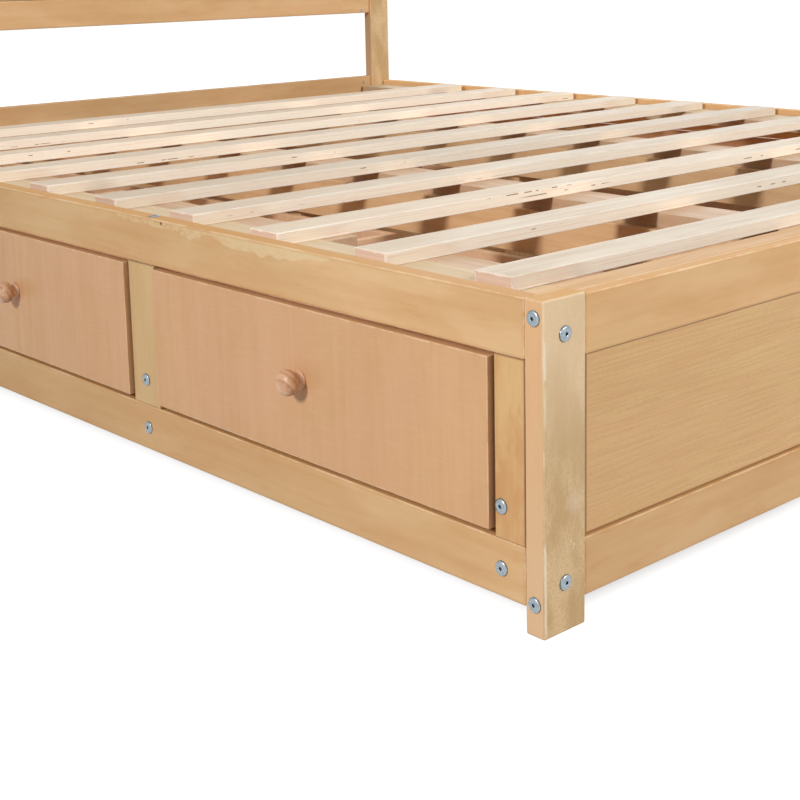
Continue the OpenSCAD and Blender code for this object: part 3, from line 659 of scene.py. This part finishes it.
# Every finish of wood: the material's name, whose colours it takes, what is special to it, and its figure
WOODS = {
    "rail": ("Stained Rail", "rail", rail_figure, STAINED),
    "patched": ("Stained Rail Patched", "rail", lacquer_patch, STAINED),
    "post": ("Stained Post", "post", post_faces, SMOOTH),
    "chipped": ("Stained Post Chipped", "post", chipped_post, SMOOTH),
    "stile": ("Stained Stile", "stile", stile_streaks, {
        "rings": 0.06, "streaks": 0.12, "clouds": 0.3, "spacing": 0.009, "pith": 0.02, "wear": 0.0,
    }),
    "panel": ("Panel Veneer", "panel", panel_lines, {
        "rings": 0.0, "streaks": 0.1, "fibres": 0.14, "clouds": 0.3, "mottle": 0.05, "wear": 0.2,
        "coat": 0.1,
    }),
    "ledge": ("Bare Light Pine", "ledge", None, {**BARE, "rings": 0.2, "streaks": 0.25, "flecks": 0.15}),
    "beam": ("Bare Whitish Pine", "beam", None, {**BARE, "rings": 0.2, "streaks": 0.3, "flecks": 0.15}),
    "inner": ("Bare Golden Pine", "inner", None, {**BARE, "rings": 0.2, "streaks": 0.3}),
    # The slats' edge wear lays their painted edge highlight
    "slat": ("Laminated Slat", "slat", ply_edges, {
        "rings": 0.10, "streaks": 0.26, "clouds": 0.3, "fibres": 0.18, "mottle": 0.1, "cast": 0.4,
        "coat": 0.0, "roughness": 0.6, "wear": 0.55, "wear_width": 0.0017, "streak_size": 0.009,
        "flecks": 0.3, "fleck_spacing": 0.07, "fleck_size": 0.002,
    }),
    "front": ("Drawer Veneer", "front", front_weave, {
        "rings": 0.0, "streaks": 0.2, "fibres": 0.22, "clouds": 0.3, "mottle": 0.12, "wear": 0.45,
        "wear_width": 0.0011, "coat": 0.1,
    }),
    "box": ("Drawer Board", "box", None, {**BARE, "rings": 0.05, "streaks": 0.25}),
    "knob": ("Turned Knob", "knob", None, {
        "rings": 0.55, "clouds": 0.6, "spacing": 0.0078, "pith": 0.016, "wander": 0.02,
        "streak_size": 0.003, "wear": 0.0, "coat": 0.5, "roughness": 0.36,
    }),
}
# The slots by which others may give the pieces another finish
MATERIALS = {}


def build_materials(look):
    for key, (name, kind, extra, figure) in WOODS.items():
        light, dark = getattr(look, f"{kind}_light"), getattr(look, f"{kind}_dark")
        # The slats take their own edge colour, a painted highlight; the other woods take the rubbed finish
        tint, worn = getattr(look, f"{kind}_tint", light), getattr(look, f"{kind}_edge_highlight", look.worn)
        MATERIALS[key] = timber(name, light, dark, tint, worn, extra=extra, **figure)
    MATERIALS["zinc"] = zinc_plate()
    MATERIALS["socket"] = socket_shade()


# --- Mesh building ----------------------------------------


def solid_boxes(node):
    """The lowest and highest corner of each separate solid of a CAD node, in order along the bed."""
    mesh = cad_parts[node].data
    points = np.array([v.co for v in mesh.vertices], float)
    _, same = np.unique(np.round(points, 6), axis=0, return_inverse=True)
    same = same.reshape(-1)
    parent = list(range(same.max() + 1))

    def find(i):
        while parent[i] != i:
            parent[i] = parent[parent[i]]
            i = parent[i]
        return i

    for face in mesh.polygons:
        first = find(same[face.vertices[0]])
        for corner in face.vertices[1:]:
            parent[find(same[corner])] = first
    roots = np.array([find(i) for i in range(len(parent))])[same]
    solids = [points[roots == root] for root in np.unique(roots)]
    boxes = [(Vector(corners.min(0)), Vector(corners.max(0))) for corners in solids]
    return sorted(boxes, key=lambda box: [round(box[0][axis], 4) for axis in (1, 0, 2)])


def board_layers(mesh):
    """The layers in which a bmesh holds a board's place, half size, faces and pattern."""
    vectors, numbers = mesh.verts.layers.float_vector, mesh.verts.layers.float
    found = [vectors.get(name) or vectors.new(name) for name in BOARD_VECTORS]
    return (*found, numbers.get(BOARD_SEED) or numbers.new(BOARD_SEED))


# The axis along a board's grain, then the other two
AXES = {"x": (0, 1, 2), "y": (1, 0, 2), "z": (2, 0, 1)}


def add_board(mesh, low, high, axis, radius, seed, level):
    """Adds one board with rounded edges and its own grain space to a bmesh."""
    place, half, side, number = board_layers(mesh)
    first = len(mesh.verts)
    middle, size = (low + high) / 2, high - low
    matrix = Matrix.Translation(middle) @ Matrix.Diagonal((*size, 1))
    corners = bmesh.ops.create_cube(mesh, size=1.0, matrix=matrix)["verts"]
    edges = list({edge for corner in corners for edge in corner.link_edges})
    radius = min(radius, min(size) * 0.45)
    rounding = {"offset": radius, "segments": 3, "profile": 0.5, "clamp_overlap": True}
    bmesh.ops.bevel(mesh, geom=edges, affect="EDGES", **rounding)
    mesh.verts.ensure_lookup_table()
    along, across, through = AXES[axis]
    if size[through] > size[across]:
        across, through = through, across
    order = (along, across, through)
    halves = [size[i] / 2 for i in order]
    for vert in mesh.verts[first:]:
        offset = vert.co - middle
        local = [offset[i] for i in order]
        on_end = abs(local[0]) / halves[0] > 0.999
        on_wide_face = abs(local[2]) > halves[2] - radius * 0.6
        vert[place], vert[half] = local, halves
        vert[side] = (float(on_end), float(on_wide_face), level)
        vert[number] = seed


def finish_piece(name, mesh, material, body, replaced=(), smooth=True):
    """Turns a bmesh into a piece that rides on a body and takes its finish from a slot."""
    data = bpy.data.meshes.new(name)
    mesh.normal_update()
    mesh.to_mesh(data)
    mesh.free()
    piece = bpy.data.objects.new(name, data)
    bpy.context.scene.collection.objects.link(piece)
    for item in material if isinstance(material, (list, tuple)) else [material]:
        data.materials.append(MATERIALS[item])
    if smooth:
        data.polygons.foreach_set("use_smooth", [True] * len(data.polygons))
        weighted = piece.modifiers.new("Even shading", "WEIGHTED_NORMAL")
        weighted.keep_sharp = True
    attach(piece, body)
    if replaced:
        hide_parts(*replaced)
    return piece


# How light each piece's wood is beside its kind, partly its own tone and partly painted light that evens out
# how the lamps fall; the slats have a value each, from the foot up
TONES_AND_PAINTED_LIGHT = {
    "slats": (0.98, 1.02, 1.09, 1.0, 0.93, 1.02, 1.06, 1.15, 1.13, 1.12),
    "head_platform_rail": 0.92,
    "head_bottom_rail": 0.9,
    "headboard_lower_rail": 1.04,
    "right_top_rail": 1.27,
    "head_post_right": 1.06,
    "foot_top_rail": 1.07,
    "foot_bottom_rail": 0.99,
}
# Patterns of a node's boards, where they aren't drawn at random
SEEDS = {"left_stiles": (0.92, 0.18, 0.31, 0.66)}


def board_piece(name, node, axis, material, radius, body="frame", boxes=None, spread=0.06):
    """One piece made of every board of a CAD node, which it stands for."""
    draw = random.Random(node)
    mesh = bmesh.new()
    seeds = iter(SEEDS.get(node, ()))
    tones_and_painted_light = TONES_AND_PAINTED_LIGHT.get(node, 1.0)
    for i, (low, high) in enumerate(boxes or solid_boxes(node)):
        level = tones_and_painted_light[i] if isinstance(tones_and_painted_light, tuple) else tones_and_painted_light * (1 + spread * (draw.random() - 0.5))
        add_board(mesh, low, high, axis, radius, next(seeds, draw.random()), level)
    finish_piece(name, mesh, material, body, [node])


def ring_points(radii, height, matrix):
    """Points around an upright axis at one height, one for each radius."""
    turns = [2 * math.pi * i / len(radii) for i in range(len(radii))]
    places = [(math.cos(turn) * r, math.sin(turn) * r, height) for turn, r in zip(turns, radii)]
    return [matrix @ Vector(place) for place in places]


def revolve(mesh, profile, steps, matrix, material=0):
    """Adds a turned shape to a bmesh: profile holds (radius, height) from the foot up."""
    rings = []
    for radius, height in profile:
        points = ring_points([radius] * steps if radius > 1e-6 else [0.0], height, matrix)
        rings.append([mesh.verts.new(point) for point in points])
    for low, high in zip(rings, rings[1:]):
        bridge(mesh, low, high, material)
    return rings


def bridge(mesh, low, high, material=0):
    """Joins two rings by faces; either may be a single point."""
    count = max(len(low), len(high))
    for i in range(count):
        j = (i + 1) % count
        lower = [low[0]] if len(low) == 1 else [low[i], low[j]]
        upper = [high[0]] if len(high) == 1 else [high[j], high[i]]
        mesh.faces.new(lower + upper).material_index = material


# --- Pieces -----------------------------------------------


def dress_posts(shape):
    for node in ("foot_post_left", "foot_post_right", "head_post_left", "head_post_right"):
        material = "chipped" if node == "foot_post_left" else "post"
        board_piece(f"{node}_wood", node, "z", material, shape.edge, spread=0)


def dress_cross_rails(shape):
    end_rails = ("foot_top_rail", "foot_bottom_rail", "head_platform_rail", "head_bottom_rail")
    for node in (*end_rails, "headboard_lower_rail", "headboard_top_rail"):
        board_piece(f"{node}_wood", node, "x", "rail", shape.edge)
    board_piece("foot_panel_veneer", "foot_panel", "x", "panel", shape.fine_edge)
    board_piece("headboard_panel_veneers", "headboard_panels", "x", "panel", shape.fine_edge)
    board_piece("headboard_stile_wood", "headboard_stiles", "z", "stile", shape.edge)


def dress_foot_cleat(shape):
    """The cleat is stepped behind the posts, so it is drawn as its middle and its two ends."""
    low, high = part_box("foot_cleat")
    rail_low, rail_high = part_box("foot_top_rail")
    post_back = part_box("foot_post_left")[1].y
    pieces = [
        (Vector((rail_low.x, rail_high.y, low.z)), Vector((rail_high.x, high.y, high.z))),
        (Vector((low.x, post_back, low.z)), Vector((rail_low.x, high.y, high.z))),
        (Vector((rail_high.x, post_back, low.z)), Vector((high.x, high.y, high.z))),
    ]
    board_piece("foot_cleat_wood", "foot_cleat", "x", "rail", shape.fine_edge, boxes=pieces, spread=0)


def dress_sides(shape):
    for side in SIDES:
        upper = "patched" if side == "left" else "rail"
        board_piece(f"{side}_top_rail_wood", f"{side}_top_rail", "y", upper, shape.edge)
        board_piece(f"{side}_bottom_rail_wood", f"{side}_bottom_rail", "y", "rail", shape.edge)
        board_piece(f"{side}_stile_wood", f"{side}_stiles", "z", "stile", shape.fine_edge)


# The boards inside the bed, the same on both sides: piece, CAD node, grain and finish
SUPPORTS = (
    ("ledge_wood", "ledge", "y", "ledge"),
    ("packer_wood", "packers", "y", "beam"),
    ("beam_wood", "beam", "y", "beam"),
    ("beam_rail_wood", "beam_rails", "y", "inner"),
    ("divider_wood", "dividers", "x", "inner"),
    ("runner_wood", "runners", "x", "inner"),
)


def dress_supports(shape):
    for side in SIDES:
        for name, node, axis, material in SUPPORTS:
            board_piece(f"{side}_{name}", f"{side}_{node}", axis, material, shape.fine_edge)
    board_piece("beam_leg_wood", "beam_legs", "z", "inner", shape.fine_edge)


# How far each slat lies from the middle of its place, in millimetres, from the foot up
SLAT_SHIFTS = (9, 3, -5, 2, 0, 0, -1, -2, -5, -7)


def dress_slats(shape):
    boxes = []
    for (low, high), shift in zip(solid_boxes("slats"), SLAT_SHIFTS):
        step = Vector((shift * MM, 0, 0))
        boxes.append((low + step, high + step))
    board_piece("slat_wood", "slats", "x", "slat", shape.fine_edge, boxes=boxes)


DRAWER_WALL = 12 * MM


def drawer_wall_boxes(node):
    """Two side walls and a back, from the box that they fill together."""
    low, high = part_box(node)
    near, far = low.y + DRAWER_WALL, high.y - DRAWER_WALL
    start = low.x if low.x > 0 else high.x - DRAWER_WALL
    return [
        (Vector(low), Vector((high.x, near, high.z))),
        (Vector((low.x, far, low.z)), Vector(high)),
        (Vector((start, near, low.z)), Vector((start + DRAWER_WALL, far, high.z))),
    ]


def dress_drawer(side, number, shape):
    body = f"{side}_drawer_{number}"
    board_piece(f"{body}_front_veneer", f"{body}_front", "z", "front", shape.front_edge, body)
    walls = drawer_wall_boxes(f"{body}_walls")
    board_piece(f"{body}_wall_boards", f"{body}_walls", "x", "box", shape.fine_edge, body, walls)
    board_piece(f"{body}_bottom_board", f"{body}_bottom", "x", "box", shape.fine_edge, body)
    dress_knob(body)


# Radius and distance from the drawer front, in millimetres
KNOB_PROFILE = (
    (0.0, 0.0), (11.4, 0.0), (11.9, 0.7), (11.6, 1.9), (10.4, 3.3), (9.1, 4.7), (8.5, 6.2), (8.6, 7.6),
    (9.7, 9.0), (11.8, 10.2), (13.5, 11.6), (14.6, 13.4), (15.1, 15.6), (15.1, 18.0), (14.7, 20.3),
    (13.6, 22.6), (11.8, 24.6), (9.3, 26.3), (6.3, 27.4), (3.2, 27.9), (0.0, 28.0),
)


def dress_knob(body):
    low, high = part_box(f"{body}_knob")
    outward = 1 if low.x > 0 else -1
    foot_x = low.x if outward > 0 else high.x
    centre = Vector((foot_x, (low.y + high.y) / 2, (low.z + high.z) / 2))
    matrix = Matrix.Translation(centre) @ Matrix.Rotation(math.radians(90 * outward), 4, "Y")
    mesh = bmesh.new()
    revolve(mesh, [(radius * MM, height * MM) for radius, height in KNOB_PROFILE], 40, matrix)
    place, half, side, number = board_layers(mesh)
    seed = random.Random(body + "knob").random()
    for vert in mesh.verts:
        local = vert.co - centre
        vert[place] = (local.y, local.z, local.x)
        vert[half] = (0.05, 0.05, 0.05)
        vert[side] = (0, 1, 1)
        vert[number] = seed
    finish_piece(f"{body}_knob_turned", mesh, "knob", body, [f"{body}_knob"])


# Radius and height above the wood of a bolt head with a radius of 8 and a height of 2.5
BOLT_PROFILE = (
    (8.0, -0.4), (8.0, 0.9), (7.85, 1.4), (7.3, 1.9), (6.5, 2.25), (5.4, 2.42), (4.0, 2.5), (2.6, 2.5),
)
BOLT_STEPS = 36
SOCKET_DEPTH = 1.9 * MM
SHANK_RADIUS = 3 * MM
# The shank starts just below the wood's face, and is closed there but for a pinhole
SHANK_TOP = -0.4 * MM
PINHOLE = 0.008 * MM
# Bolts in the top faces have smaller, flatter heads
TOP_BOLT_SCALE = (0.88, 0.88, 0.5, 1)


def add_bolt(mesh, matrix, shape, spin, length):
    """A flat-round head with a hexagon socket, and the shank in the wood below it."""
    wide, tall = shape.bolt_radius / BOLT_PROFILE[0][0], shape.bolt_height / BOLT_PROFILE[-1][1]
    profile = [(radius * wide, height * tall) for radius, height in BOLT_PROFILE]
    # The lower side wall of the head takes the dark socket zinc, as painted shade
    rim = revolve(mesh, profile[:2], BOLT_STEPS, matrix, 1)
    rings = rim[:1] + revolve(mesh, profile[1:], BOLT_STEPS, matrix)
    hexagon = []
    for i in range(BOLT_STEPS):
        near = (2 * math.pi * i / BOLT_STEPS + spin) % (math.pi / 3) - math.pi / 6
        hexagon.append(shape.socket / 2 / math.cos(near))
    loops = []
    for height in (shape.bolt_height, shape.bolt_height - SOCKET_DEPTH):
        loops.append([mesh.verts.new(point) for point in ring_points(hexagon, height, matrix)])
    bridge(mesh, rings[-1], loops[0])
    # The socket's walls and floor take the dark zinc as painted shade
    bridge(mesh, loops[0], loops[1], 1)
    mesh.faces.new(loops[1]).material_index = 1
    shank = [(0.0, -length), (SHANK_RADIUS, -length), (SHANK_RADIUS, SHANK_TOP), (PINHOLE, SHANK_TOP)]
    revolve(mesh, shank, BOLT_STEPS, matrix)


def bolt_matrix(low, high, height):
    """Where the head of a bolt sits and which way it looks, and the length of its shank."""
    size, seat = high - low, (low + high) / 2
    along = max(range(3), key=lambda i: size[i])
    sign = 1 if along == 2 or seat[along] > 0 else -1
    seat[along] = (high if sign > 0 else low)[along] - sign * height
    normal = Vector((0, 0, 0))
    normal[along] = sign
    turn = normal.to_track_quat("Z", "Y").to_matrix().to_4x4()
    return Matrix.Translation(seat) @ turn, size[along] - height


def dress_bolts(shape):
    mesh = bmesh.new()
    draw = random.Random(5)
    for low, high in solid_boxes("bolts"):
        matrix, length = bolt_matrix(low, high, shape.bolt_height)
        if high.z - low.z > max(high.x - low.x, high.y - low.y):
            matrix = matrix @ Matrix.Diagonal(TOP_BOLT_SCALE)
        add_bolt(mesh, matrix, shape, draw.uniform(0, math.pi / 3), length)
    piece = finish_piece("bolt_heads", mesh, ["zinc", "socket"], "frame", ["bolts"], smooth=False)
    rounded = [face.material_index == 0 for face in piece.data.polygons]
    piece.data.polygons.foreach_set("use_smooth", rounded)


NUT_STEPS = 24
# How far a barrel nut's face lies below the wood, its chamfer across and down, and its slot's depth
NUT_SUNK = 0.35 * MM
NUT_CHAMFER = (0.4 * MM, 0.3 * MM)
NUT_SLOT = (0.9 * MM, 1.0 * MM)


def dress_nuts():
    """Each barrel nut shows as a slotted disc that is nearly flush with the inner face of its rail."""
    mesh = bmesh.new()
    for low, high in solid_boxes("barrel_nuts"):
        sign = 1 if low.y < 0 else -1
        radius, depth = (high.x - low.x) / 2, high.y - low.y
        face = (high.y if sign > 0 else low.y) + sign * NUT_SUNK
        turn = Vector((0, sign, 0)).to_track_quat("Z", "Y").to_matrix().to_4x4()
        matrix = Matrix.Translation(((low.x + high.x) / 2, face, (low.z + high.z) / 2)) @ turn
        across, down = NUT_CHAMFER
        barrel = [(0, -depth), (radius, -depth), (radius, -down), (radius - across, 0)]
        slot = radius * 0.52
        well = [(slot, 0), (slot * 0.9, -NUT_SLOT[0]), (0, -NUT_SLOT[1])]
        outer = revolve(mesh, barrel, NUT_STEPS, matrix)[-1]
        # The slot takes the dark socket zinc as painted shade
        inner = revolve(mesh, well, NUT_STEPS, matrix, 1)[0]
        bridge(mesh, outer, inner)
    metals = ["zinc", "socket"]
    finish_piece("barrel_nut_faces", mesh, metals, "frame", ["barrel_nuts"], smooth=False)


# --- Stage ------------------------------------------------

FLOOR_HALF = 40
FLOOR_DROP = 0.5 * MM


def floor_material():
    """White to the camera around the bed, and for light a plain pale floor that keeps shadows."""
    made = bpy.data.materials.new("Studio Floor")
    made.use_nodes = True
    tree = Tree(made.node_tree)
    for item in list(made.node_tree.nodes):
        made.node_tree.nodes.remove(item)
    out = tree.node("ShaderNodeOutputMaterial")
    matte = tree.node("ShaderNodeBsdfDiffuse")
    glow = tree.node("ShaderNodeEmission")
    # Under the middle of the bed the floor doesn't glow, so that it stays as dark as the light there
    place = tree.parts(tree.node("ShaderNodeTexCoord").outputs["Object"])
    outside = tree.highest(
        tree.ramp(place[0], CAD_HIGH.x - 40 * MM, CAD_HIGH.x - 34 * MM),
        tree.ramp(place[1], CAD_HIGH.y - 20 * MM, CAD_HIGH.y - 15 * MM),
        tree.ramp(place[0], CAD_LOW.x + 40 * MM, CAD_LOW.x + 170 * MM, 1.0, 0.0),
        tree.ramp(place[1], CAD_LOW.y + 12 * MM, CAD_LOW.y + 90 * MM, 1.0, 0.0),
    )
    tree.join(tree.ramp(outside, 0.0, 1.0, 0.72, 0.42), matte.inputs["Color"])
    tree.join(tree.times(tree.watched(), outside, 0.93), glow.inputs["Strength"])
    both = tree.node("ShaderNodeAddShader")
    tree.join_all((matte.outputs[0], glow.outputs[0]), both.inputs)
    tree.join(both.outputs[0], out.inputs["Surface"])
    return made


def build_floor():
    mesh = bmesh.new()
    bmesh.ops.create_grid(mesh, x_segments=8, y_segments=8, size=FLOOR_HALF)
    data = bpy.data.meshes.new("studio_floor")
    mesh.to_mesh(data)
    mesh.free()
    floor = bpy.data.objects.new("studio_floor", data)
    bpy.context.scene.collection.objects.link(floor)
    floor.location = (0, 0, CAD_LOW.z - FLOOR_DROP)
    data.materials.append(floor_material())


def build_world(strength):
    world = bpy.data.worlds.new("Studio")
    bpy.context.scene.world = world
    world.use_nodes = True
    tree = Tree(world.node_tree)
    background = world.node_tree.nodes["Background"]
    background.inputs["Color"].default_value = (1, 1, 1, 1)
    level = tree.plus(strength, tree.times(tree.watched(), 1.0 - strength))
    tree.join(level, background.inputs["Strength"])


# Where each lamp stands, where it points and how wide it is; its power is the setting of the same name
LAMPS = {
    "side": ((-4.7, -0.9, 2.35), (-0.8, -5.2, 0.2), 0.8),
    "foot": ((2.2, -7.2, 3.65), (0, -0.6, 0.2), 1.4),
    "top": ((-0.2, 0.6, 2.6), (-0.2, 0.61, 0), 1.2),
    "back": ((4.4, 3.0, 2.8), (0, 0, 0.2), 2.5),
}


def build_lamps(stage):
    for name, (place, target, width) in LAMPS.items():
        lamp = bpy.data.lights.new(f"{name} lamp", "AREA")
        lamp.shape = "SQUARE"
        lamp.size = width
        lamp.energy = getattr(stage, name)
        made = bpy.data.objects.new(f"{name} lamp", lamp)
        made.location = place
        made.rotation_euler = (Vector(target) - Vector(place)).to_track_quat("-Z", "Y").to_euler()
        bpy.context.scene.collection.objects.link(made)


def build_camera(stage):
    yaw, pitch, roll = stage.yaw, stage.pitch, stage.roll
    forward = Vector((math.sin(yaw) * math.cos(pitch), math.cos(yaw) * math.cos(pitch), -math.sin(pitch)))
    level = Vector((math.cos(yaw), -math.sin(yaw), 0))
    upright = level.cross(forward)
    right = level * math.cos(roll) + upright * math.sin(roll)
    up = upright * math.cos(roll) - level * math.sin(roll)
    lens = bpy.data.cameras.new("Camera")
    lens.lens = stage.lens
    lens.shift_x, lens.shift_y = stage.shift
    camera = bpy.data.objects.new("Camera", lens)
    turn = Matrix((right, up, -forward)).transposed().to_4x4()
    camera.matrix_world = Matrix.Translation(stage.place) @ turn
    bpy.context.scene.collection.objects.link(camera)
    bpy.context.scene.camera = camera


# --- Operators --------------------------------------------


class BED_OT_finishes(bpy.types.Operator):
    """Make the node groups and every finish of the bed"""

    bl_idname = "bed.finishes"
    bl_label = "Mix Finishes"

    def execute(self, context):
        build_board_space()
        build_wood_figure()
        build_edge_wear()
        build_flecks()
        build_ply_lines()
        build_materials(context.scene.bed_timber)
        return {"FINISHED"}


class BED_OT_posts(bpy.types.Operator):
    """Dress the four corner posts"""

    bl_idname = "bed.posts"
    bl_label = "Posts"

    def execute(self, context):
        dress_posts(context.scene.bed_shape)
        return {"FINISHED"}


class BED_OT_ends(bpy.types.Operator):
    """Dress the rails, panels and stiles of the foot end and the headboard"""

    bl_idname = "bed.ends"
    bl_label = "Foot End and Headboard"

    def execute(self, context):
        dress_cross_rails(context.scene.bed_shape)
        dress_foot_cleat(context.scene.bed_shape)
        return {"FINISHED"}


class BED_OT_sides(bpy.types.Operator):
    """Dress the long side rails and their stiles"""

    bl_idname = "bed.sides"
    bl_label = "Long Sides"

    def execute(self, context):
        dress_sides(context.scene.bed_shape)
        return {"FINISHED"}


class BED_OT_supports(bpy.types.Operator):
    """Dress the ledges, beams, dividers, runners and legs inside the bed"""

    bl_idname = "bed.supports"
    bl_label = "Inner Supports"

    def execute(self, context):
        dress_supports(context.scene.bed_shape)
        return {"FINISHED"}


class BED_OT_slats(bpy.types.Operator):
    """Dress the laminated slats"""

    bl_idname = "bed.slats"
    bl_label = "Slats"

    def execute(self, context):
        dress_slats(context.scene.bed_shape)
        return {"FINISHED"}


class BED_OT_drawers(bpy.types.Operator):
    """Dress the drawers with their fronts, boxes and knobs"""

    bl_idname = "bed.drawers"
    bl_label = "Drawers"

    def execute(self, context):
        for side in SIDES:
            for number in DRAWERS:
                dress_drawer(side, number, context.scene.bed_shape)
        return {"FINISHED"}


class BED_OT_fittings(bpy.types.Operator):
    """Dress the bolts and barrel nuts"""

    bl_idname = "bed.fittings"
    bl_label = "Bolts and Nuts"

    def execute(self, context):
        dress_bolts(context.scene.bed_shape)
        dress_nuts()
        return {"FINISHED"}


class BED_OT_stage(bpy.types.Operator):
    """Set out the floor, the surround, the lamps and the camera"""

    bl_idname = "bed.stage"
    bl_label = "Studio"

    def execute(self, context):
        stage = context.scene.bed_stage
        build_floor()
        build_world(stage.sky)
        build_lamps(stage)
        build_camera(stage)
        context.scene.view_settings.view_transform = "Standard"
        return {"FINISHED"}


STEPS = ("finishes", "posts", "ends", "sides", "supports", "slats", "drawers", "fittings", "stage")


class BED_PT_dresser(bpy.types.Panel):
    bl_idname = "BED_PT_dresser"
    bl_label = "Platform Bed"
    bl_space_type = "VIEW_3D"
    bl_region_type = "UI"
    bl_category = "Bed"

    def draw(self, context):
        for step in STEPS:
            self.layout.operator(f"bed.{step}")


GROUPS = {"bed_timber": BedTimberSettings, "bed_shape": BedShapeSettings, "bed_stage": BedStageSettings}
CLASSES = (
    *GROUPS.values(),
    BED_OT_finishes,
    BED_OT_posts,
    BED_OT_ends,
    BED_OT_sides,
    BED_OT_supports,
    BED_OT_slats,
    BED_OT_drawers,
    BED_OT_fittings,
    BED_OT_stage,
    BED_PT_dresser,
)


def register():
    for item in CLASSES:
        bpy.utils.register_class(item)
    for name, group in GROUPS.items():
        setattr(bpy.types.Scene, name, bpy.props.PointerProperty(type=group))


def unregister():
    for name in GROUPS:
        delattr(bpy.types.Scene, name)
    for item in reversed(CLASSES):
        bpy.utils.unregister_class(item)


def main():
    register()
    for step in STEPS:
        getattr(bpy.ops.bed, step)()


if __name__ == "__main__":
    main()
